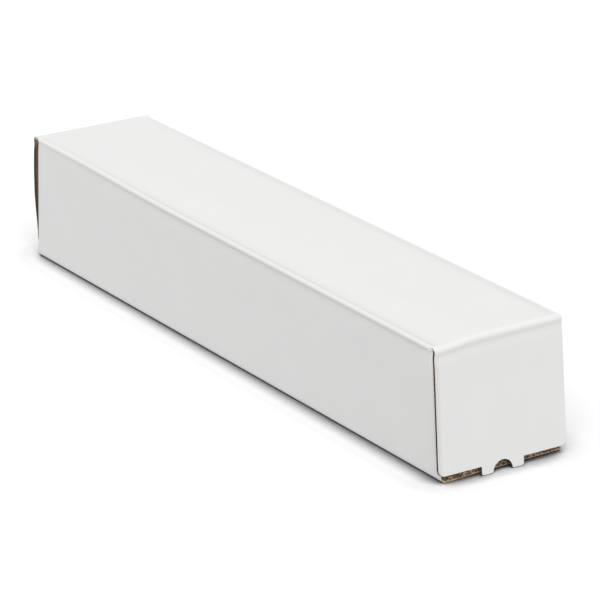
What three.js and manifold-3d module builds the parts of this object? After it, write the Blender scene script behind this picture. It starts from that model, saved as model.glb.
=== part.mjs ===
// A square mailing tube, die-cut from one sheet of fine-fluted corrugated board, white outside
// and brown inside. It lies on its doubled panel. The top panel ends in a flap at each end,
// and the side panels end in dust flaps tucked in behind those.
// Millimetres, +X along the tube, -Y the near side, +Z up.
import * as THREE from 'three';
import { mergeGeometries, mergeVertices } from 'three/addons/utils/BufferGeometryUtils.js';
import Module from 'manifold-3d';

const wasm = await Module();
wasm.setup();

// Tube
const tubeLength = 462; // between the outer faces of the dust flaps
const tubeWidth = 86;
const tubeHeight = 82;
const board = 1.6;
const longFoldRadius = 3; // outside radius of the four long folds
const lengthSteps = 16;

// How far the side panels lean at the floor, because the sheet was glued a little out of square
const nearLeanLeft = -3;
const nearLeanRight = 4.6;
const farLeanLeft = 0;
const farLeanRight = 0.6;
const leftEndSlant = 2.5; // how far the left end reaches out at the floor

// Doubled bottom panel, whose cut ends show under the end flaps
const bottomLayers = 2;
const bottomReachRight = 1;
const bottomReachLeft = -2.3;
const reliefHeight = 1; // slit that frees the dust flap from the bottom panel

// Fold from the top panel into each end flap
const endFoldRadius = 3.5;
const foldOverlap = 0.5; // how far joined pieces of the sheet run into each other

// Dust flaps
const dustFlapLength = 30;
const dustFoldRadius = 3;
const dustFlapGap = 1.5; // to the panels above and below
const dustCornerCut = 9;

// End flaps
const fitGap = 0.3; // between a flap and what it lies against
const flapBottom = 5.6;
const flapCornerRadius = 4;
const rightFlapStandOff = 0; // of its top end from the dust flaps, past the fit gap
const rightFlareNear = 3.7; // how far its bottom corners stand out past its top end
const rightFlareFar = 5.6;
const leftFlapStandOff = 3.8;
const leftBow = 3.4; // how far its middle stands out past its top end
const leftFoot = 1.6; // and how far its bottom end does
const leftBowMiddle = 40; // height where it stands out most
const leftBowBottom = 13; // and below which it hangs straight
const flapNearInset = 0.5; // of its near edge behind the near side panel
const floorGap = 0.3;
const tabWidth = 28;
const tabCornerRadius = 1.2;
const notchRadius = 6.5;
const notchCornerRadius = 0.8;
const flapWidthSteps = 2;
const flapHeightSteps = 24;

// Corrugation of the flaps, whose flutes run across the tube and show at the cut side edges
const flutePitch = 3.3;
const linerThickness = 0.22;
const mediumThickness = 0.2;
const fluteGlueWidth = 0.7; // where a flute's crest meets the liner
const flutesFromTop = 1.4; // from the flap's top edge to the middle of the first flute

const bottomThickness = bottomLayers * board;
const halfLength = tubeLength / 2;
const halfWidth = tubeWidth / 2;
const flapTop = tubeHeight - endFoldRadius - fitGap;

// Distance of each flap's outer face from the middle of the tube at its top edge
const rightOuterFace = halfLength + fitGap + rightFlapStandOff + board;
const leftOuterFace = halfLength + fitGap + leftFlapStandOff + board;
const outerFace = { [-1]: leftOuterFace, 1: rightOuterFace };
const flapNearEdge = -halfWidth + flapNearInset;

// Directions in which a flat outline is extruded
const alongX = new THREE.Matrix4().makeBasis(
  new THREE.Vector3(0, 1, 0),
  new THREE.Vector3(0, 0, 1),
  new THREE.Vector3(1, 0, 0)
);
const alongY = new THREE.Matrix4().makeBasis(
  new THREE.Vector3(0, 0, 1),
  new THREE.Vector3(1, 0, 0),
  new THREE.Vector3(0, 1, 0)
);
const alongZ = new THREE.Matrix4();

function extrude(shape, direction, start, end, steps = 1) {
  const geometry = new THREE.ExtrudeGeometry(shape, {
    depth: end - start,
    steps,
    bevelEnabled: false,
    curveSegments: 3
  });
  geometry.translate(0, 0, start);
  geometry.applyMatrix4(direction);
  return geometry;
}

function movePoints(geometry, move) {
  const position = geometry.attributes.position;
  const point = new THREE.Vector3();
  for (let i = 0; i < position.count; i++) {
    point.fromBufferAttribute(position, i);
    move(point);
    position.setXYZ(i, point.x, point.y, point.z);
  }
  return geometry;
}

function solid(geometry) {
  geometry.deleteAttribute('normal');
  geometry.deleteAttribute('uv');
  const merged = mergeVertices(geometry, 1e-5);
  return new wasm.Manifold(new wasm.Mesh({
    numProp: 3,
    vertProperties: new Float32Array(merged.attributes.position.array),
    triVerts: new Uint32Array(merged.index.array)
  }));
}

// A block that leans with the tube
function block(x0, x1, y0, y1, z0, z1) {
  const geometry = new THREE.BoxGeometry(x1 - x0, y1 - y0, z1 - z0);
  geometry.translate((x0 + x1) / 2, (y0 + y1) / 2, (z0 + z1) / 2);
  return solid(movePoints(geometry, lean));
}

function namedMesh(name, result, material) {
  const { vertProperties, triVerts } = result.getMesh();
  const geometry = new THREE.BufferGeometry();
  geometry.setAttribute('position', new THREE.BufferAttribute(vertProperties, 3));
  geometry.setIndex(new THREE.BufferAttribute(triVerts, 1));
  geometry.computeVertexNormals();
  const mesh = new THREE.Mesh(geometry, material);
  mesh.name = name;
  return mesh;
}

function roundedRectangle(path, u0, v0, u1, v1, radius) {
  path.moveTo(u0 + radius, v0);
  path.lineTo(u1 - radius, v0);
  path.absarc(u1 - radius, v0 + radius, radius, -Math.PI / 2, 0);
  path.lineTo(u1, v1 - radius);
  path.absarc(u1 - radius, v1 - radius, radius, 0, Math.PI / 2);
  path.lineTo(u0 + radius, v1);
  path.absarc(u0 + radius, v1 - radius, radius, Math.PI / 2, Math.PI);
  path.lineTo(u0, v0 + radius);
  path.absarc(u0 + radius, v0 + radius, radius, Math.PI, 1.5 * Math.PI);
  return path;
}

// The glued sheet's lean: none at the top panel, most at the floor, growing along the tube.
function lean(point) {
  const along = (point.x + halfLength) / tubeLength;
  const across = (point.y + halfWidth) / tubeWidth;
  const low = 1 - point.z / tubeHeight;
  const near = THREE.MathUtils.lerp(nearLeanLeft, nearLeanRight, along);
  const far = THREE.MathUtils.lerp(farLeanLeft, farLeanRight, along);
  point.x -= low * leftEndSlant * (1 - along);
  point.y += low * THREE.MathUtils.lerp(near, far, across);
}

// Four panels and four long folds, with the ends cut back around the dust flaps
function longPanels() {
  const section = roundedRectangle(new THREE.Shape(), -halfWidth, 0, halfWidth, tubeHeight, longFoldRadius);
  section.holes.push(roundedRectangle(
    new THREE.Path(),
    -halfWidth + board,
    bottomThickness,
    halfWidth - board,
    tubeHeight - board,
    longFoldRadius - board
  ));
  const longest = halfLength + Math.max(0, bottomReachLeft, bottomReachRight);
  const panels = extrude(section, alongX, -longest, longest, lengthSteps);
  let result = solid(movePoints(panels, lean));
  const slit = bottomThickness + reliefHeight;
  for (const side of [-1, 1]) {
    const bottomReach = side < 0 ? bottomReachLeft : bottomReachRight;
    for (const cut of [
      pastEnd(side, halfLength + bottomReach, -tubeHeight, slit + reliefHeight),
      pastEnd(side, halfLength - dustFoldRadius, slit, tubeHeight - longFoldRadius),
      pastEnd(side, topPanelEnd(side), slit, 2 * tubeHeight)
    ]) {
      result = result.subtract(cut);
    }
  }
  return result;
}

// What a cut takes off one end of the tube, past a distance from its middle
function pastEnd(side, distance, z0, z1) {
  const outside = tubeLength;
  const x0 = side < 0 ? -outside : distance;
  const x1 = side < 0 ? -distance : outside;
  return block(x0, x1, -tubeWidth, tubeWidth, z0, z1);
}

// Where the piece that turns down into the end flap takes over from the top panel
function topPanelEnd(side) {
  return Math.min(halfLength, outerFace[side] - endFoldRadius);
}

// The top panel runs past the side panels and turns down into the end flap's fold.
function topEnd(side) {
  const face = outerFace[side];
  const start = topPanelEnd(side) - foldOverlap;
  const reach = face - endFoldRadius;
  const low = tubeHeight - endFoldRadius;
  const section = new THREE.Shape();
  section.moveTo(tubeHeight, start);
  section.lineTo(tubeHeight, reach);
  section.absarc(low, reach, endFoldRadius, 0, Math.PI / 2);
  section.lineTo(low, face - board);
  section.absarc(low, reach, endFoldRadius - board, Math.PI / 2, 0, true);
  section.lineTo(tubeHeight - board, start);
  const geometry = extrude(section, alongY, flapNearEdge, halfWidth);
  if (side > 0) return solid(geometry);
  movePoints(geometry, (point) => point.setX(-point.x));
  turnInsideOut(geometry);
  return solid(geometry);
}

// A side panel's fold and the dust flap that it carries, tapered at its free corners
function dustFlap(side, hand) {
  const low = bottomThickness + dustFlapGap;
  const high = tubeHeight - board - dustFlapGap;
  const foldCentre = halfLength - dustFoldRadius;
  const foldEdge = -halfWidth + dustFoldRadius;

  const fold = new THREE.Shape();
  fold.moveTo(foldCentre - foldOverlap, -halfWidth);
  fold.lineTo(foldCentre, -halfWidth);
  fold.absarc(foldCentre, foldEdge, dustFoldRadius, -Math.PI / 2, 0);
  fold.lineTo(halfLength, foldEdge + foldOverlap);
  fold.lineTo(halfLength - board, foldEdge + foldOverlap);
  fold.lineTo(halfLength - board, foldEdge);
  fold.absarc(foldCentre, foldEdge, dustFoldRadius - board, 0, -Math.PI / 2, true);
  fold.lineTo(foldCentre - foldOverlap, -halfWidth + board);
  const bend = extrude(fold, alongZ, low, high);

  const free = -halfWidth + dustFlapLength;
  const flap = new THREE.Shape();
  flap.moveTo(foldEdge, low);
  flap.lineTo(free - dustCornerCut, low);
  flap.lineTo(free, low + dustCornerCut);
  flap.lineTo(free, high - dustCornerCut);
  flap.lineTo(free - dustCornerCut, high);
  flap.lineTo(foldEdge, high);
  const plate = extrude(flap, alongX, halfLength - board, halfLength);

  const place = (geometry) => {
    const turned = side * hand < 0;
    movePoints(geometry, (point) => point.set(side * point.x, hand * point.y, point.z));
    if (turned) turnInsideOut(geometry);
    return solid(movePoints(geometry, lean));
  };
  return place(bend).add(place(plate));
}

function turnInsideOut(geometry) {
  const position = geometry.attributes.position;
  const first = new THREE.Vector3();
  const second = new THREE.Vector3();
  for (let i = 0; i < position.count; i += 3) {
    first.fromBufferAttribute(position, i + 1);
    second.fromBufferAttribute(position, i + 2);
    position.setXYZ(i + 1, second.x, second.y, second.z);
    position.setXYZ(i + 2, first.x, first.y, first.z);
  }
}

function tubeBody() {
  let result = longPanels();
  for (const side of [-1, 1]) {
    result = result.add(topEnd(side));
    for (const hand of [-1, 1]) {
      result = result.add(dustFlap(side, hand));
    }
  }
  return result;
}

// Outer face of the right flap, straight and standing out towards the floor
function rightFace(z) {
  return rightOuterFace + rightFlareNear * (flapTop - z) / (flapTop - flapBottom);
}

// Outer face of the left flap, bowed out in the middle
function leftFace(z) {
  if (z < leftBowMiddle) {
    const rise = THREE.MathUtils.smoothstep(z, leftBowBottom, leftBowMiddle);
    return leftOuterFace + THREE.MathUtils.lerp(leftFoot, leftBow, rise);
  }
  const down = (flapTop - z) / (flapTop - leftBowMiddle);
  return leftOuterFace + leftBow * Math.sin(down * Math.PI / 2);
}

// One flute's hollow beside a liner: flat on the liner, curved on the medium
function fluteHollow(height, outward) {
  const wave = board / 2 - linerThickness - mediumThickness / 2;
  const half = (flutePitch - fluteGlueWidth) / 2;
  const side = outward ? 1 : -1;
  const at = (s, offset) => new THREE.Vector2(height + s, side * offset - board / 2);
  const medium = (s) => mediumThickness / 2 - wave * Math.cos(2 * Math.PI * s / flutePitch);
  const points = [at(-half, board / 2 - linerThickness), at(half, board / 2 - linerThickness)];
  for (const share of [1, 0.5, 0, -0.5, -1]) {
    points.push(at(share * half, medium(share * half)));
  }
  return extrude(new THREE.Shape(points), alongY, -halfWidth - board, halfWidth + board);
}

// Every flute of a flap from its top edge down to the tab
function flutes() {
  const hollows = [];
  const lowest = floorGap + flutePitch;
  for (let z = flapTop - flutesFromTop; z > lowest; z -= flutePitch) {
    hollows.push(fluteHollow(z, true));
    hollows.push(fluteHollow(z - flutePitch / 2, false));
  }
  return mergeGeometries(hollows);
}

// Outline of a flap: rounded free corners and a middle tab with a half-round thumb notch
function flapOutline() {
  const halfTab = tabWidth / 2;
  const outline = new THREE.Shape();
  outline.moveTo(flapNearEdge, flapTop);
  outline.lineTo(flapNearEdge, flapBottom + flapCornerRadius);
  outline.absarc(
    flapNearEdge + flapCornerRadius, flapBottom + flapCornerRadius, flapCornerRadius, Math.PI, 1.5 * Math.PI
  );
  outline.lineTo(-halfTab, flapBottom);
  outline.lineTo(-halfTab, floorGap + tabCornerRadius);
  outline.absarc(-halfTab + tabCornerRadius, floorGap + tabCornerRadius, tabCornerRadius, Math.PI, 1.5 * Math.PI);
  const rise = Math.asin(notchCornerRadius / (notchRadius + notchCornerRadius));
  const corner = (notchRadius + notchCornerRadius) * Math.cos(rise);
  const cornerHeight = floorGap + notchCornerRadius;
  outline.lineTo(-corner, floorGap);
  outline.absarc(-corner, cornerHeight, notchCornerRadius, -Math.PI / 2, -rise);
  outline.absarc(0, floorGap, notchRadius, Math.PI - rise, rise, true);
  outline.absarc(corner, cornerHeight, notchCornerRadius, Math.PI + rise, 1.5 * Math.PI);
  outline.lineTo(halfTab - tabCornerRadius, floorGap);
  outline.absarc(halfTab - tabCornerRadius, floorGap + tabCornerRadius, tabCornerRadius, -Math.PI / 2, 0);
  outline.lineTo(halfTab, flapBottom);
  outline.lineTo(halfWidth - flapCornerRadius, flapBottom);
  outline.absarc(
    halfWidth - flapCornerRadius, flapBottom + flapCornerRadius, flapCornerRadius, -Math.PI / 2, 0
  );
  outline.lineTo(halfWidth, flapTop);
  return outline;
}

// A flap is made flat with its outer face at X = 0, then bent to the shape that it has taken.
function endFlap(side, face, twist) {
  const height = flapTop - floorGap;
  const sheet = new THREE.BoxGeometry(board, tubeWidth, height, 1, flapWidthSteps, flapHeightSteps);
  sheet.translate(-board / 2, 0, floorGap + height / 2);
  const bend = (point) => {
    const across = (point.y + halfWidth) / tubeWidth;
    point.x += face(point.z) + twist * across * (flapTop - point.z) / (flapTop - flapBottom);
  };
  const hollowSheet = solid(movePoints(sheet, bend)).subtract(solid(movePoints(flutes(), bend)));
  const outline = solid(extrude(flapOutline(), alongX, halfLength, halfLength + tubeHeight));
  const flap = hollowSheet.intersect(outline);
  return side > 0 ? flap : flap.mirror([1, 0, 0]);
}

const white = { color: 0xe9e9e8, roughness: 0.72, metalness: 0 };
const rightTwist = rightFlareFar - rightFlareNear;
const tube = new THREE.Group();
tube.add(namedMesh('tube_body', tubeBody(), new THREE.MeshStandardMaterial(white)));
tube.add(namedMesh(
  'end_flap_right', endFlap(1, rightFace, rightTwist), new THREE.MeshStandardMaterial(white)
));
tube.add(namedMesh(
  'end_flap_left', endFlap(-1, leftFace, 0), new THREE.MeshStandardMaterial(white)
));

// The origin is the middle of the whole tube's footprint, on the floor.
const extent = new THREE.Box3().setFromObject(tube);
const middle = extent.getCenter(new THREE.Vector3());
tube.position.set(-middle.x, -middle.y, -extent.min.z);

export default tube;
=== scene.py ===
import math

import bmesh
import bpy
from mathutils import Matrix, Vector


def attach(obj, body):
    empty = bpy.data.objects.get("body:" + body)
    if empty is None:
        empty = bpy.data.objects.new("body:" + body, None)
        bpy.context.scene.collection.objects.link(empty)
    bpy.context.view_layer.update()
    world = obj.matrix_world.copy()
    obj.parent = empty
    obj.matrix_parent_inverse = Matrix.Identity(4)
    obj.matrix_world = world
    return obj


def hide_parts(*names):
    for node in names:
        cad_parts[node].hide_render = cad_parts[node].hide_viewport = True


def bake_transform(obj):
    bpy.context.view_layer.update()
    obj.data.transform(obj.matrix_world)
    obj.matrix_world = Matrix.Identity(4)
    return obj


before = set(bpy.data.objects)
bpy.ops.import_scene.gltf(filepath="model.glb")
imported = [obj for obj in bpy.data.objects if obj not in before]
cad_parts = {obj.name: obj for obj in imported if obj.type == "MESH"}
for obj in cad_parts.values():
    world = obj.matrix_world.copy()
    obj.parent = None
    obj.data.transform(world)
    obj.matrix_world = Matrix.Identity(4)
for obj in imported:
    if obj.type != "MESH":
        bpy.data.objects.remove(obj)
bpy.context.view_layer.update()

# The view: a long lens from above the near right corner, looking down the tube.
# Its place and turn come from the tube's own corners and edges in the photograph.
view_from = Vector((1.444038, -0.874458, 0.6551))
view_yaw = math.radians(148.26)
view_pitch = math.radians(-20.38)
view_roll = math.radians(-1.16)
view_end = 20
focal_pixels = 2928
picture_pixels = 600
sensor_mm = 36

forward = Vector((
    math.cos(view_yaw) * math.cos(view_pitch),
    math.sin(view_yaw) * math.cos(view_pitch),
    math.sin(view_pitch),
))
level_right = Vector((math.sin(view_yaw), -math.cos(view_yaw), 0))
level_up = level_right.cross(forward)
view_right = level_right * math.cos(view_roll) + level_up * math.sin(view_roll)
view_up = level_up * math.cos(view_roll) - level_right * math.sin(view_roll)
camera_data = bpy.data.cameras.new("camera")
camera_data.sensor_width = sensor_mm
camera_data.lens = focal_pixels / picture_pixels * sensor_mm
camera_data.clip_end = view_end
camera = bpy.data.objects.new("camera", camera_data)
bpy.context.scene.collection.objects.link(camera)
view_turn = Matrix((view_right, view_up, -forward)).transposed()
camera.matrix_world = Matrix.Translation(view_from) @ view_turn.to_4x4()
bpy.context.scene.camera = camera
bpy.context.scene.view_settings.view_transform = "Standard"


# The folded body: one sheet of fine-fluted corrugated board, folded round into five panels, the
# outer bottom one, near side, top, far side and the inner bottom one, which is glued to the
# first. The ends of the side panels are turned in as dust flaps. It leans a little, as found.
tube_length = 0.462
tube_width = 0.086
tube_height = 0.082
board = 0.0016
flute_pitch = 0.0033
centre_x = 0.0008354  # the frame's origin is under the middle of the tube with its flaps
centre_y = 0.0011372
near_lean_left = -0.003  # how far the near side's foot is out of plumb at the left end
near_lean_right = 0.0046
far_lean_right = 0.0006
left_end_slant = 0.0025  # the left end reaches out at the table
long_fold_radius = 0.0018
bottom_fold_radius = 0.003
fold_turns = 8  # steps round one of the long folds
panel_steps = 8
top_panel_steps = 12
length_steps = 64
lap_gap = 0.0001
outer_lap_edge = 0.0424  # how far the outer bottom panel reaches to the far side
inner_lap_inset = 0.0008
bottom_reach = {-1: -0.0023, 1: 0.0022}  # of the bottom panels past the left and right end
relief_height = 0.0010  # of the cut that frees a dust flap from the bottom panels
seam_margin = 0.003  # the end flap's piece takes over from the top panel here
hair = 0.000001  # tolerance where heights are compared
side_play = 0.0006  # the side panels are this near to flat

end_lift = 0.0007  # the bottom panels curl up off the table at the right end
end_lift_length = 0.06
end_lift_edge = 0.002
end_lift_full = 0.036
end_lift_height = 0.012
fold_sag = 0.0019
sag_start = 0.04
sag_full = 0.18
sag_edge = 0.004
sag_reach = 0.03
score_depth = 0.00038  # how far the sheet dips beside a pressed fold line
score_places = (0.0023, 0.0031, 0.0041, 0.0058, 0.0095)  # away from the corner
score_shares = (0.5, 0.9, 1.0, 0.6, 0.0)
# painted shade: how much of the darker colour the paper takes in the dips beside a pressed fold
score_shade = (0.35, 0.5, 0.4, 0.15, 0.0)
score_fade = 0.16  # the pressed line is faint at the left end and full from here on
score_least = 0.35

dust_flap_length = 0.030
dust_fold_radius = 0.003
dust_flap_gap = 0.0015  # over the bottom panels
dust_top_gap = 0.0005  # under the top panel
dust_corner_cut = 0.009
dust_fold_steps = 6
dust_plate_steps = 10
ear_rise = 0.0013  # a dust fold runs up into the top fold by this much
ear_turn = 0.5  # and is cut off there part of the way round

white_paper_colour = (0.80, 0.795, 0.79)
# The darker papers: painted shade in the valleys beside the pressed folds, on white and brown faces
# alike. The brown one is also painted shade in the dark gap behind the flaps' near edges, and the
# white one makes the flaps' outsides darker towards their near edges.
darkened_white = (0.66, 0.65, 0.64)
brown_paper_colour = (0.38, 0.26, 0.165)
painted_shade_brown = (0.075, 0.05, 0.032)
pale_edge_colour = (0.80, 0.73, 0.63)
torn_colour = (0.66, 0.45, 0.29)
# painted shade in the board's hollows, as seen on a flat cut edge
hollow_shade_colour = (0.13, 0.082, 0.05)

half_length = tube_length / 2
half_width = tube_width / 2
slit = 2 * board + relief_height
side_low = 2 * board + dust_flap_gap
side_high = tube_height - board - dust_top_gap
ear_high = tube_height - long_fold_radius + ear_rise


def smooth_share(value, low, high):
    share = min(1, max(0, (value - low) / (high - low)))
    return share * share * (3 - 2 * share)


def lean(point):
    """Sets a point of the upright tube out of plumb, most at the table."""
    along = (point.x + half_length) / tube_length
    across = (point.y + half_width) / tube_width
    low = 1 - point.z / tube_height
    near = near_lean_left + (near_lean_right - near_lean_left) * along
    far_side = far_lean_right * along
    point.x -= low * left_end_slant * (1 - along)
    point.y += low * (near + (far_side - near) * across)
    return point


def sag(point):
    """The near top fold hangs a little below the rest of the top, apart from its left end."""
    along = smooth_share(point.x, -half_length + sag_start, -half_length + sag_full)
    across = 1 - smooth_share(point.y + half_width, sag_edge, sag_reach)
    high = 1 - smooth_share(tube_height - point.z, sag_edge, sag_reach)
    point.z -= fold_sag * along * across * high
    return point


def curl(point):
    """The bottom panels' right end stands a little off the table, most at the middle."""
    right_end = smooth_share(point.x, half_length - end_lift_length, half_length)
    across = smooth_share(point.y + half_width, end_lift_edge, end_lift_full)
    low = max(0, 1 - point.z / end_lift_height)
    point.z += end_lift * right_end * across * low
    return point


def settle(point):
    """Moves a point of the blank from the tube's own middle into the frame."""
    return Vector((point.x + centre_x, point.y + centre_y, point.z))


def plain_corner(corner, arriving, leaving, radius):
    """Outline of a rounded fold in the sheet's section, from one flat panel to the next."""
    centre = corner - arriving * radius + leaving * radius
    points = [corner - arriving * score_places[-1]]
    for i in range(fold_turns + 1):
        angle = math.pi / 2 * i / fold_turns
        points.append(centre + radius * (arriving * math.sin(angle) - leaving * math.cos(angle)))
    return points + [corner + leaving * score_places[-1]]


def scored_corner(corner, arriving, leaving, radius):
    """The same for a pressed fold, with a shallow dip in the panels beside it."""
    points = plain_corner(corner, arriving, leaving, radius)
    before = [
        corner - arriving * place + leaving * score_depth * share
        for place, share in reversed(list(zip(score_places, score_shares)))
    ]
    after = [
        corner + leaving * place - arriving * score_depth * share
        for place, share in zip(score_places, score_shares)
    ]
    return before + points[1:-1] + after


def between(first, last, count):
    return [first.lerp(last, (i + 1) / (count + 1)) for i in range(count)]


def with_side_stations(points):
    """Adds the levels of the side panels where the dust flaps start and end."""
    added = []
    for here, onward in zip(points, points[1:]):
        added.append(here)
        low = min(here.y, onward.y) + hair
        high = max(here.y, onward.y) - hair
        levels = []
        if abs(here.x - onward.x) < side_play and abs(abs(here.x) - half_width) < side_play:
            levels = [level for level in (slit, side_low, side_high) if low < level < high]
            levels.sort(reverse=here.y > onward.y)
        added += [here.lerp(onward, (level - here.y) / (onward.y - here.y)) for level in levels]
    added.append(points[-1])
    return added


# The sheet's section, from the outer bottom panel's free edge round to the inner one's
up = Vector((0, 1))
far = Vector((1, 0))
near_bottom = Vector((-half_width, 0))
near_top = Vector((-half_width, tube_height))
far_top = Vector((half_width, tube_height))
far_bottom = Vector((half_width, board + lap_gap))
inner_edge = Vector((-half_width + board + inner_lap_inset, board + lap_gap))

section = [Vector((outer_lap_edge, 0))]
section += between(section[0], near_bottom + far * score_places[-1], panel_steps)
section += plain_corner(near_bottom, -far, up, bottom_fold_radius)
section += between(section[-1], near_top - up * score_places[-1], panel_steps)
section += scored_corner(near_top, up, far, long_fold_radius)
section += between(section[-1], far_top - far * score_places[-1], top_panel_steps)
section += scored_corner(far_top, far, -up, long_fold_radius)
section += between(section[-1], far_bottom + up * score_places[-1], panel_steps)
section += plain_corner(far_bottom, -up, -far, bottom_fold_radius)
section += between(section[-1], inner_edge, panel_steps)
section.append(inner_edge)
section = with_side_stations(section)


def section_inward(column):
    before = section[max(column - 1, 0)]
    after = section[min(column + 1, len(section) - 1)]
    along = (after - before).normalized()
    return Vector((along.y, -along.x))


inward = [section_inward(column) for column in range(len(section))]


def panel_end(spot, hand):
    """How far out the sheet stops at a spot of its section.

    A hand of -1 stands for the tube's left end and one of 1 for its right end."""
    if spot.y > ear_high:
        return half_length - seam_margin
    if spot.y > slit + hair:
        return half_length - dust_fold_radius
    return half_length + bottom_reach[hand]


def fold_share(spot, shares):
    """How much of a pressed fold's dip or painted shade reaches a spot of the section."""
    away = sorted((abs(abs(spot.x) - half_width), abs(spot.y - tube_height)))[1]
    places = (0, long_fold_radius, *score_places)
    shares = (0, 0, *shares)
    for start, end, low, high in zip(places, places[1:], shares, shares[1:]):
        if away <= end:
            return low + (high - low) * (away - start) / (end - start)
    return 0


def body_place(column, row):
    spot = section[column]
    left = -panel_end(spot, -1)
    right = panel_end(spot, 1)
    x = left + (right - left) * row / length_steps
    pressed = score_least + (1 - score_least) * smooth_share(x + half_length, 0, score_fade)
    spot = spot - inward[column] * score_depth * fold_share(spot, score_shares) * (1 - pressed)
    inner = spot + inward[column] * board
    places = [settle(curl(lean(sag(Vector((x, place.x, place.y)))))) for place in (spot, inner)]
    return (*places, x, fold_share(section[column], score_shade) * pressed)


def number_layer(shape, name):
    return shape.verts.layers.float.get(name) or shape.verts.layers.float.new(name)


def sheet_grid(shape, columns, rows, place):
    """A grid of the sheet's outer face, which also carries each vertex's inner place, its travel
    along the blank and how far its paper is darkened: painted shade at the folds and behind the
    flaps' near edges, and a darker band on the white near edges."""
    if "inner_place" not in shape.verts.layers.float_vector:
        shape.verts.layers.float_vector.new("inner_place")
    for name in ("sheet_travel", "sheet_wear", "sheet_depth"):
        number_layer(shape, name)
    inner_place = shape.verts.layers.float_vector["inner_place"]
    sheet_travel = number_layer(shape, "sheet_travel")
    sheet_wear = number_layer(shape, "sheet_wear")
    made = bmesh.ops.create_grid(shape, x_segments=columns, y_segments=rows, size=1)
    for vertex in made["verts"]:
        column = round((vertex.co.x + 1) / 2 * columns)
        row = round((vertex.co.y + 1) / 2 * rows)
        outer, inner, travel, darkening = place(column, row)
        vertex.co = outer
        vertex[inner_place] = inner
        vertex[sheet_travel] = travel
        vertex[sheet_wear] = darkening
    return list({face for vertex in made["verts"] for face in vertex.link_faces})


def thicken(shape, faces, outer_material, inner_material, rim_material):
    """Closes a grid into a sheet, from its outer faces to the inner places that it carries."""
    inner_place = shape.verts.layers.float_vector["inner_place"]
    sheet_depth = number_layer(shape, "sheet_depth")
    for face in faces:
        face.material_index = outer_material
    grown = bmesh.ops.extrude_face_region(shape, geom=faces, use_keep_orig=True)["geom"]
    grown_faces = {item for item in grown if isinstance(item, bmesh.types.BMFace)}
    grown_verts = {item for item in grown if isinstance(item, bmesh.types.BMVert)}
    for face in grown_faces:
        face.material_index = inner_material
    rims = {face for vertex in grown_verts for face in vertex.link_faces} - grown_faces
    for face in rims:
        face.material_index = rim_material
    for vertex in grown_verts:
        vertex.co = vertex[inner_place]
        vertex[sheet_depth] = 1
    bmesh.ops.recalc_face_normals(shape, faces=list(set(faces) | grown_faces | rims))


def dust_grid(shape, hand, side):
    """A side panel's end turned in round its fold, with the flap's free corners cut off.

    A side of -1 stands for the near panel and one of 1 for the far panel."""
    levels = sorted(
        (spot for spot in section if abs(abs(spot.x) - half_width) < side_play
         and spot.x * side > 0 and side_low - hair <= spot.y <= ear_high),
        key=lambda spot: spot.y,
    )

    def dust_place(column, row):
        spot = levels[column]
        in_ear = spot.y > side_high + hair
        margin = max(0, min(spot.y - side_low, side_high - spot.y))
        free = dust_flap_length - max(0, dust_corner_cut - margin) - dust_fold_radius
        turned = min(ear_turn if in_ear else 1, row / dust_fold_steps)
        angle = math.pi / 2 * turned
        reach = 0 if in_ear else free * max(0, row - dust_fold_steps) / dust_plate_steps
        dip = (half_width - abs(spot.x)) * (1 - turned)
        places = []
        for radius in (dust_fold_radius, dust_fold_radius - board):
            along = half_length - dust_fold_radius + radius * math.sin(angle)
            across = half_width - dust_fold_radius + radius * math.cos(angle) - reach - dip
            places.append(settle(lean(sag(Vector((hand * along, side * across, spot.y))))))
        travel = half_length - dust_fold_radius + dust_fold_radius * angle + reach
        return (*places, hand * travel, 0)

    sheet_grid(shape, len(levels) - 1, dust_fold_steps + dust_plate_steps, dust_place)


WHITE, CUT, BROWN = range(3)
same_place = 0.00002

body = bmesh.new()
sheet_grid(body, len(section) - 1, length_steps, body_place)
for hand in (-1, 1):
    for side in (-1, 1):
        dust_grid(body, hand, side)
bmesh.ops.remove_doubles(body, verts=body.verts, dist=same_place)
bmesh.ops.recalc_face_normals(body, faces=body.faces)
thicken(body, body.faces[:], WHITE, BROWN, CUT)


class Value:
    """One socket of a material, so that its maths reads as plain arithmetic."""

    def __init__(self, nodes, socket):
        self.nodes = nodes
        self.socket = socket

    def math(self, operation, other, swap=False):
        pair = (other, self) if swap else (self, other)
        return self.nodes.add("ShaderNodeMath", {"operation": operation}, {0: pair[0], 1: pair[1]})

    def __add__(self, other):
        return self.math("ADD", other)

    def __radd__(self, other):
        return self.math("ADD", other, swap=True)

    def __sub__(self, other):
        return self.math("SUBTRACT", other)

    def __rsub__(self, other):
        return self.math("SUBTRACT", other, swap=True)

    def __mul__(self, other):
        return self.math("MULTIPLY", other)

    def __rmul__(self, other):
        return self.math("MULTIPLY", other, swap=True)


class Nodes:
    """The nodes of one material."""

    def __init__(self, material):
        material.use_nodes = True
        self.tree = material.node_tree
        self.tree.nodes.clear()

    def add(self, kind, settings=None, inputs=None, output=0):
        node = self.tree.nodes.new(kind)
        for name, value in (settings or {}).items():
            if name == "stops":
                ramp = node.color_ramp.elements
                while len(ramp) < len(value):
                    ramp.new(0.5)
                for stop, (place, colour) in zip(ramp, value):
                    stop.position = place
                    stop.color = (*colour, 1)
            else:
                setattr(node, name, value)
        for name, value in (inputs or {}).items():
            if isinstance(value, Value):
                self.tree.links.new(value.socket, node.inputs[name])
            else:
                node.inputs[name].default_value = value
        return Value(self, node.outputs[output]) if len(node.outputs) else None

    def mix(self, share, first, second):
        """A colour between two: the first is a socket, the second a plain colour."""
        return self.add(
            "ShaderNodeMix", {"data_type": "RGBA", "clamp_factor": True},
            {0: share, 6: first, 7: (*second, 1)}, 2,
        )

    def finish(self, surface):
        self.add("ShaderNodeOutputMaterial", None, {"Surface": surface})


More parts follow.
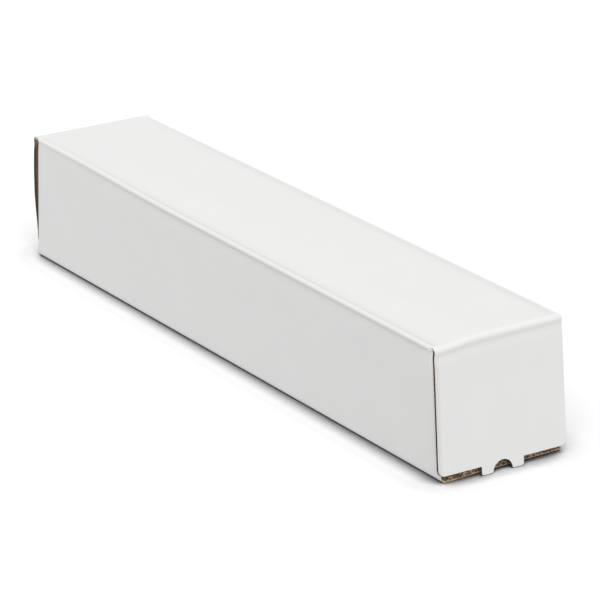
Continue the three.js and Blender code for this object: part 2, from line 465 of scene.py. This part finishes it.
cloud_detail = 4.0
cloud_roughness = 0.6
fibre_scale = 1400.0
fibre_detail = 3.0
fibre_roughness = 0.65
fibre_share = 0.3  # of the mottle, the rest is clouds
tone_low = 0.3  # the noise's darkest and lightest levels
tone_high = 0.7
darkening_least = 0.7  # a darkened place takes the darker colour in patches, by this much and the clouds
darkening_patches = 0.6
paper_shine = 0.3
fibre_mattness = 0.08


def paper(
    name, colour, mottle, mottle_size, fibre_height, roughness, washboard=0.0, darkened_colour=None,
):
    """Bare paper, mottled, with fibres, and with the flutes showing through by washboard metres.

    Where the sheet's own darkening attribute rises to 1, it takes the darker colour: painted shade
    in the valleys of pressed folds and in the gap behind the flaps' near edges, and a darker band on
    the white near edges."""
    material = bpy.data.materials.new(name)
    nodes = Nodes(material)
    place = nodes.add("ShaderNodeTexCoord", None, None, "Object")
    clouds = nodes.add(
        "ShaderNodeTexNoise", None,
        {
            "Vector": place, "Scale": 1 / mottle_size, "Detail": cloud_detail,
            "Roughness": cloud_roughness,
        },
    )
    fibres = nodes.add(
        "ShaderNodeTexNoise", None,
        {
            "Vector": place, "Scale": fibre_scale, "Detail": fibre_detail,
            "Roughness": fibre_roughness,
        },
    )
    light = tuple(min(1, c * (1 + mottle)) for c in colour)
    dark = tuple(c * (1 - mottle) for c in colour)
    shade = clouds * (1 - fibre_share) + fibres * fibre_share
    stops = [(tone_low, dark), (tone_high, light)]
    tone = nodes.add("ShaderNodeValToRGB", {"stops": stops}, {"Fac": shade})
    if darkened_colour:
        darkening = nodes.add("ShaderNodeAttribute", {"attribute_name": "sheet_wear"}, None, "Fac")
        # Painted shade at the folds and behind the flaps' near edges, and a darker band on the white
        # near edges, mixed into the colour
        tone = nodes.mix(darkening * (darkening_least + darkening_patches * clouds), tone, darkened_colour)
    height = fibres * fibre_height
    if washboard:
        travel = nodes.add("ShaderNodeAttribute", {"attribute_name": "sheet_travel"}, None, "Fac")
        ripple = (travel * (2 * math.pi / flute_pitch)).math("COSINE", 0.0)
        height = height + ripple * washboard
    bump = nodes.add("ShaderNodeBump", None, {"Strength": 1.0, "Distance": 1.0, "Height": height})
    nodes.finish(nodes.add("ShaderNodeBsdfPrincipled", None, {
        "Base Color": tone,
        "Roughness": roughness + fibres * fibre_mattness,
        "Specular IOR Level": paper_shine,
        "Normal": bump,
    }))
    return material


torn_scale = 620.0
torn_detail = 2.0
speckle_scale = 800.0
speckle_detail = 1.0
speckle = 2.4  # how strongly the speckle breaks up the wavy paper
middle = 0.5  # of the board's thickness, and of a noise
flute_wander = 0.0042
wave_share = 0.33  # of the board's thickness, each way from its middle
pale_band = (0.13, 0.20)  # share of the thickness where the pale paper edge gives way
pale_speckle = 0.08  # how ragged that edge is
pale_wander = 0.10
lap_edge = (0.0014, 0.0034)  # between these heights the glued inner panel has no pale edge
lap_fade = 0.0002
torn_stop = 0.10
hollow_shade_stop = 0.30
hollow_depth = 0.0002
speckle_height = 0.00008
cut_roughness = 0.85
cut_shine = 0.2


def cut_board(name):
    """A cut edge of the board: the outer paper's pale edge, and speckled torn paper with painted
    shade for the hollows behind it.

    sheet_depth runs from 0 outside to 1 inside, and sheet_travel along the blank, so an edge
    cut across the flutes shows their wave and one cut along them wanders through it."""
    material = bpy.data.materials.new(name)
    nodes = Nodes(material)
    place = nodes.add("ShaderNodeTexCoord", None, None, "Object")
    travel = nodes.add("ShaderNodeAttribute", {"attribute_name": "sheet_travel"}, None, "Fac")
    depth = nodes.add("ShaderNodeAttribute", {"attribute_name": "sheet_depth"}, None, "Fac")
    torn = nodes.add(
        "ShaderNodeTexNoise", None,
        {"Vector": place, "Scale": torn_scale, "Detail": torn_detail},
    )
    fine = nodes.add(
        "ShaderNodeTexNoise", None,
        {"Vector": place, "Scale": speckle_scale, "Detail": speckle_detail},
    )
    phase = (travel + torn * flute_wander) * (2 * math.pi / flute_pitch)
    line = phase.math("COSINE", 0.0) * wave_share + middle
    off_line = (depth - line).math("ABSOLUTE", 0.0) + (fine - middle) * speckle
    to_outside = depth + (fine - middle) * pale_speckle + (torn - middle) * pale_wander
    # Off the paper's wavy line, the cut edge takes painted shade for the hollows between the papers
    wavy = nodes.add(
        "ShaderNodeValToRGB",
        {"stops": [(torn_stop, torn_colour), (hollow_shade_stop, hollow_shade_colour)]},
        {"Fac": off_line},
    )

    def ramp(value, start, end, first, last):
        return nodes.add("ShaderNodeMapRange", {"clamp": True}, {
            "Value": value, "From Min": start, "From Max": end, "To Min": first, "To Max": last,
        })

    pale = ramp(to_outside, *pale_band, 1.0, 0.0)
    over_table = nodes.add("ShaderNodeSeparateXYZ", None, {"Vector": place}, "Z")
    below_lap = ramp(over_table, lap_edge[0], lap_edge[0] + lap_fade, 1.0, 0.0)
    above_lap = ramp(over_table, lap_edge[1], lap_edge[1] + lap_fade, 0.0, 1.0)
    shown_pale = pale * below_lap.math("MAXIMUM", above_lap)
    height = off_line * -hollow_depth + fine * speckle_height
    bump = nodes.add("ShaderNodeBump", None, {"Strength": 1.0, "Distance": 1.0, "Height": height})
    nodes.finish(nodes.add("ShaderNodeBsdfPrincipled", None, {
        "Base Color": nodes.mix(shown_pale, wavy, pale_edge_colour),
        "Roughness": cut_roughness,
        "Specular IOR Level": cut_shine,
        "Normal": bump,
    }))
    return material


white_paper = paper(
    "white_paper", white_paper_colour, mottle=0.012, mottle_size=0.03, fibre_height=0.00001,
    roughness=0.62, washboard=0.0000012, darkened_colour=darkened_white,
)
brown_paper = paper(
    "brown_paper", brown_paper_colour, mottle=0.08, mottle_size=0.012, fibre_height=0.00002,
    roughness=0.75, washboard=0.000004, darkened_colour=painted_shade_brown,
)
body_materials = [white_paper, cut_board("cut_edge"), brown_paper]
sharp_turn = math.radians(50)


def add_piece(name, shape, materials):
    mesh = bpy.data.meshes.new(name)
    for face in shape.faces:
        face.smooth = True
    shape.to_mesh(mesh)
    shape.free()
    mesh.set_sharp_from_angle(angle=sharp_turn)
    piece = bpy.data.objects.new(name, mesh)
    bpy.context.scene.collection.objects.link(piece)
    for material in materials:
        mesh.materials.append(material)
    return piece


folded_body = add_piece("folded_body", body, body_materials)
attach(folded_body, "tube")
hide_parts("tube_body")


# The end flaps: each carries on from the top panel, over a pressed fold and down outside the
# tube's end, to a tab with a thumb notch. Each is made of its three papers, the two liners and
# the fluted medium between them, because the cut side edges show the flutes.
liner = 0.00017
medium = 0.00022
flute_samples = 8  # rows of the medium in each flute
fit_gap = 0.0003
end_fold_radius = 0.0030
flap_bottom = 0.0056
flap_corner_radius = 0.004
flap_corner_steps = 6
flap_stations = (0.0055, 0.0075, 0.0095, 0.014)  # across the flap from its side edge
tab_width = 0.028
tab_station = 0.006  # beside the tab
tab_corner_radius = 0.0012
tab_corner_steps = 5
tab_slant = 0.00002  # keeps the tab's side edge from folding onto itself
floor_gap = 0.0003
notch_radius = 0.0065
notch_steps = 8
notch_corner_radius = 0.0008
notch_corner_steps = 5
near_inset = 0.0008

right_flare_near = 0.0037
right_flare_far = 0.0056
edge_roll = 0.0005  # the right flap's near edge is crushed and turned in a little
edge_roll_width = 0.0036
edge_roll_start = 0.006  # below the fold
# the flaps darken towards their near edges: painted shade on the brown inside, where it faces the
# dark gap, and a darker band on the white outside
edge_darkening = 0.9
left_stand_off = 0.0038
left_bow = 0.0034
left_foot = 0.0016
left_bow_middle = 0.040
left_bow_bottom = 0.013

seam_start = 0.0005  # the flap's edge leaves the body's rounded section from here
seam_inset_end = 0.0025
corner_blend_length = 0.0045
end_score_depth = 0.0004
end_score_places = (0.0, 0.0022, 0.0028, 0.008)  # where it begins, is full, fades and ends
crease_places = (0.0, 0.002, 0.003, 0.008)
# painted shade along the end fold's pressed line
crease_shade_most = 0.15
wrap_share = 0.6  # so far round the end fold the white paper covers the board's cut edge
flat_rows = 4
bend_rows = 8
pressed_rows = 9
pressed_row_length = 0.001
plate_rows = 34

# painted shade: the paper inside the flutes is near black, for the shade in the board's hollows
flute_shade_colour = (0.02, 0.012, 0.008)
medium_edge_colour = (0.30, 0.205, 0.13)

fold_foot = tube_height - end_fold_radius
flap_start = half_length - seam_margin
bend_length = math.pi / 2 * end_fold_radius
wave = board / 2 - liner - medium / 2


def half_flap_columns(edge):
    """Places across a flap from its side edge to its middle, each with its lower edge's height."""
    columns = []
    for i in range(flap_corner_steps + 1):
        turn = math.pi / 2 * i / flap_corner_steps
        columns.append((
            edge + flap_corner_radius * (1 - math.cos(turn)),
            flap_bottom + flap_corner_radius * (1 - math.sin(turn)),
        ))
    half_tab = tab_width / 2
    columns += [(-half_width + away, flap_bottom) for away in flap_stations]
    columns += [(-half_tab - tab_station, flap_bottom), (-half_tab, flap_bottom)]
    for i in range(tab_corner_steps + 1):
        turn = math.pi / 2 * i / tab_corner_steps
        columns.append((
            -half_tab + tab_slant + tab_corner_radius * (1 - math.cos(turn)),
            floor_gap + tab_corner_radius * (1 - math.sin(turn)),
        ))
    rise = math.asin(notch_corner_radius / (notch_radius + notch_corner_radius))
    corner = (notch_radius + notch_corner_radius) * math.cos(rise)
    for i in range(notch_corner_steps):
        turn = math.pi / 2 + (rise - math.pi / 2) * i / notch_corner_steps
        columns.append((
            -corner + notch_corner_radius * math.cos(turn),
            floor_gap + notch_corner_radius * (1 - math.sin(turn)),
        ))
    for i in range(notch_steps + 1):
        turn = rise + (math.pi / 2 - rise) * i / notch_steps
        columns.append((-notch_radius * math.cos(turn), floor_gap + notch_radius * math.sin(turn)))
    return columns


def right_face(y, z):
    """How far out the right flap's outer face is, flaring towards its foot."""
    close = half_length + fit_gap + board
    flare = right_flare_near + (right_flare_far - right_flare_near) * (y + half_width) / tube_width
    from_edge = min(1, max(0, y + half_width - near_inset) / edge_roll_width)
    roll = edge_roll * (1 - from_edge) ** 2 * smooth_share(fold_foot - z, 0, edge_roll_start)
    return close + flare * max(0, fold_foot - z) / (fold_foot - flap_bottom) - roll


def left_face(y, z):
    """How far out the left flap's outer face is, bowed most at its middle."""
    close = half_length + fit_gap + left_stand_off + board
    if z < left_bow_middle:
        inward_share = smooth_share(z, left_bow_bottom, left_bow_middle)
        return close + left_foot + (left_bow - left_foot) * inward_share
    return close + left_bow * math.sin(math.pi / 2 * (fold_foot - z) / (fold_foot - left_bow_middle))


def pressed_share(below, begins, full, fades, ends):
    return smooth_share(below, begins, full) - smooth_share(below, fades, ends)


def flap_place(face, y, travel, depth):
    """Place on a flap, travel along the sheet from the top panel and depth below its outer face."""
    reach = face(y, fold_foot) - end_fold_radius
    flat = reach - flap_start
    near_share = max(0, 1 - (y + half_width - near_inset) / flap_corner_radius)
    y -= near_inset * near_share * (1 - smooth_share(travel, seam_start, seam_inset_end))
    over = max(0, abs(y) - (half_width - long_fold_radius))
    drop = long_fold_radius - math.sqrt(max(0, long_fold_radius ** 2 - over ** 2))
    if not over:
        drop = score_depth * fold_share(Vector((y, tube_height)), score_shares)
    drop *= 1 - smooth_share(travel, seam_start, corner_blend_length)
    if travel <= flat:
        return Vector((flap_start + travel, y, tube_height - depth - drop))
    if travel <= flat + bend_length:
        angle = (travel - flat) / end_fold_radius
        radius = end_fold_radius - depth
        z = fold_foot + radius * math.cos(angle) - drop
        return Vector((reach + radius * math.sin(angle), y, z))
    below = travel - flat - bend_length
    z = fold_foot - below
    dip = end_score_depth * pressed_share(below, *end_score_places)
    return Vector((face(y, z) - depth - dip, y, z))


def end_flap(name, hand, face, node):
    """One end flap of three papers, whose outer face stands as far out as face says."""
    columns = half_flap_columns(-half_width + near_inset)
    columns += [(-y, bottom) for y, bottom in reversed(half_flap_columns(-half_width)[:-1])]
    flat = face(0, fold_foot) - end_fold_radius - flap_start
    bent = flat + bend_length
    fixed = [flat * i / flat_rows for i in range(flat_rows)]
    fixed += [flat + bend_length * i / bend_rows for i in range(bend_rows)]
    fixed += [bent + pressed_row_length * i for i in range(pressed_rows)]
    liner_rows = len(fixed) - 1 + plate_rows
    longest = bent + fold_foot - floor_gap
    flute_rows = math.ceil(longest / flute_pitch * flute_samples)

    def liner_travel(row, bottom):
        if row < len(fixed):
            return fixed[row]
        whole = bent + fold_foot - bottom
        return fixed[-1] + (whole - fixed[-1]) * (row - len(fixed) + 1) / plate_rows

    def medium_travel(row, bottom):
        return (bent + fold_foot - bottom) * row / flute_rows

    def medium_depth(travel):
        phase = 2 * math.pi * (travel - bent) / flute_pitch
        return board / 2 - wave * math.cos(phase) - medium / 2

    def layer(rows, travel_at, depth_at, thickness, *materials):
        def place(column, row):
            y, bottom = columns[column]
            travel = travel_at(row, bottom)
            depth = depth_at(travel)
            places = []
            for level in (depth, depth + thickness):
                point = flap_place(face, y, travel, level)
                places.append(settle(sag(Vector((hand * point.x, point.y, point.z)))))
            from_edge = (y + half_width - near_inset) / edge_roll_width
            from_fold = travel - bent
            # Painted shade along the end fold's pressed line. The paper also darkens towards the
            # near edge, as painted shade on the brown inside where it faces the gap.
            near_edge_share = 1 - smooth_share(from_edge, 0, 1)
            darkening = edge_darkening * near_edge_share * smooth_share(from_fold, 0, edge_roll_start)
            crease_shade = crease_shade_most * pressed_share(from_fold, *crease_places)
            return (*places, travel, max(darkening, crease_shade))
        thicken(flap, sheet_grid(flap, len(columns) - 1, rows, place), *materials)

    flap = bmesh.new()
    layer(liner_rows, liner_travel, lambda travel: 0, liner, WHITE, FLUTE_SHADE, LINER_EDGE)
    layer(flute_rows, medium_travel, medium_depth, medium, FLUTE_SHADE, FLUTE_SHADE, MEDIUM_EDGE)
    layer(liner_rows, liner_travel, lambda travel: board - liner, liner, FLUTE_SHADE, BROWN, FLUTE_SHADE)
    sheet_travel = number_layer(flap, "sheet_travel")
    for facet in flap.faces:
        furthest = max(vertex[sheet_travel] for vertex in facet.verts)
        if facet.material_index != BROWN and furthest < flat + bend_length * wrap_share:
            facet.material_index = WHITE
    piece = add_piece(name, flap, flap_materials)
    fold_start = hand * (flap_start + flat)
    fold_start + hand * end_fold_radius
    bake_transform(piece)
    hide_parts(node)


flap_materials = body_materials + [
    # the paper inside the flutes, painted near black for the shade in the hollows
    paper(
        "flute_painted_shade", flute_shade_colour, mottle=0.12, mottle_size=0.004, fibre_height=0.00002,
        roughness=0.8,
    ),
    paper(
        "liner_edge", pale_edge_colour, mottle=0.15, mottle_size=0.001, fibre_height=0.00003,
        roughness=0.85,
    ),
    paper(
        "medium_edge", medium_edge_colour, mottle=0.20, mottle_size=0.001, fibre_height=0.00003,
        roughness=0.85,
    ),
]
FLUTE_SHADE, LINER_EDGE, MEDIUM_EDGE = range(len(body_materials), len(flap_materials))

end_flap("right_end_flap", 1, right_face, "end_flap_right")
end_flap("left_end_flap", -1, left_face, "end_flap_left")


# The room: a wide white table under plain soft light from above and from the tube's near right.
# The table shows white to the camera and keeps the tube's shadow. Where the two meet, its colour is
# darkened by how open it is, a painted contact shadow.
table_size = 12
table_colour = 0.65  # as it lights the tube
table_shown = 1.25  # as it looks, times the tones below
contact_reach = 0.022
contact_samples = 8
# painted contact shadow: the table's shown tone by how open it is to the room
contact_shadow_tones = (
    (0.25, 0.06), (0.55, 0.23), (0.64, 0.62), (0.72, 0.74), (0.9, 0.705), (1.0, 0.77),
)
sky_strength = 0.7
light_from = Vector((0.225, -0.14, 0.39))  # its length is the light's share of full white
light_softness = math.radians(45)

table_shape = bmesh.new()
bmesh.ops.create_grid(table_shape, x_segments=1, y_segments=1, size=table_size / 2)
table_mesh = bpy.data.meshes.new("table")
table_shape.to_mesh(table_mesh)
table_shape.free()
table = bpy.data.objects.new("table", table_mesh)
bpy.context.scene.collection.objects.link(table)

table_white = bpy.data.materials.new("table_white")
nodes = Nodes(table_white)


def matt(colour):
    return nodes.add("ShaderNodeBsdfPrincipled", None, {
        "Base Color": colour, "Roughness": 1.0, "Specular IOR Level": 0.0,
    })


camera_ray, glossy_ray, transmission_ray = (
    nodes.add("ShaderNodeLightPath", None, None, f"Is {kind} Ray")
    for kind in ("Camera", "Glossy", "Transmission")
)
seen = camera_ray.math("MAXIMUM", glossy_ray).math("MAXIMUM", transmission_ray)
# the table's openness near the tube, which sets the painted contact shadow
openness = nodes.add(
    "ShaderNodeAmbientOcclusion", {"samples": contact_samples},
    {"Color": (1, 1, 1, 1), "Distance": contact_reach}, "AO",
)
contact_shadow_stops = [(place, (tone,) * 3) for place, tone in contact_shadow_tones]
contact_shadow = nodes.add("ShaderNodeValToRGB", {"stops": contact_shadow_stops}, {"Fac": openness})
shown_colour = nodes.add(
    "ShaderNodeVectorMath", {"operation": "SCALE"}, {0: contact_shadow, "Scale": table_shown},
)
lighting_colour = (table_colour,) * 3 + (1,)
nodes.finish(nodes.add(
    "ShaderNodeMixShader", None, {0: seen, 1: matt(lighting_colour), 2: matt(shown_colour)},
))
table_mesh.materials.append(table_white)

studio = bpy.data.worlds.new("studio")
studio.use_nodes = True
sky = studio.node_tree.nodes["Background"]
sky.inputs["Color"].default_value = (1, 1, 1, 1)
sky.inputs["Strength"].default_value = sky_strength
bpy.context.scene.world = studio

soft_light = bpy.data.lights.new("soft_light", "SUN")
soft_light.angle = light_softness
soft_light.energy = light_from.length * math.pi
lamp = bpy.data.objects.new("soft_light", soft_light)
lamp.matrix_world = (-light_from).to_track_quat("-Z", "Y").to_matrix().to_4x4()
bpy.context.scene.collection.objects.link(lamp)
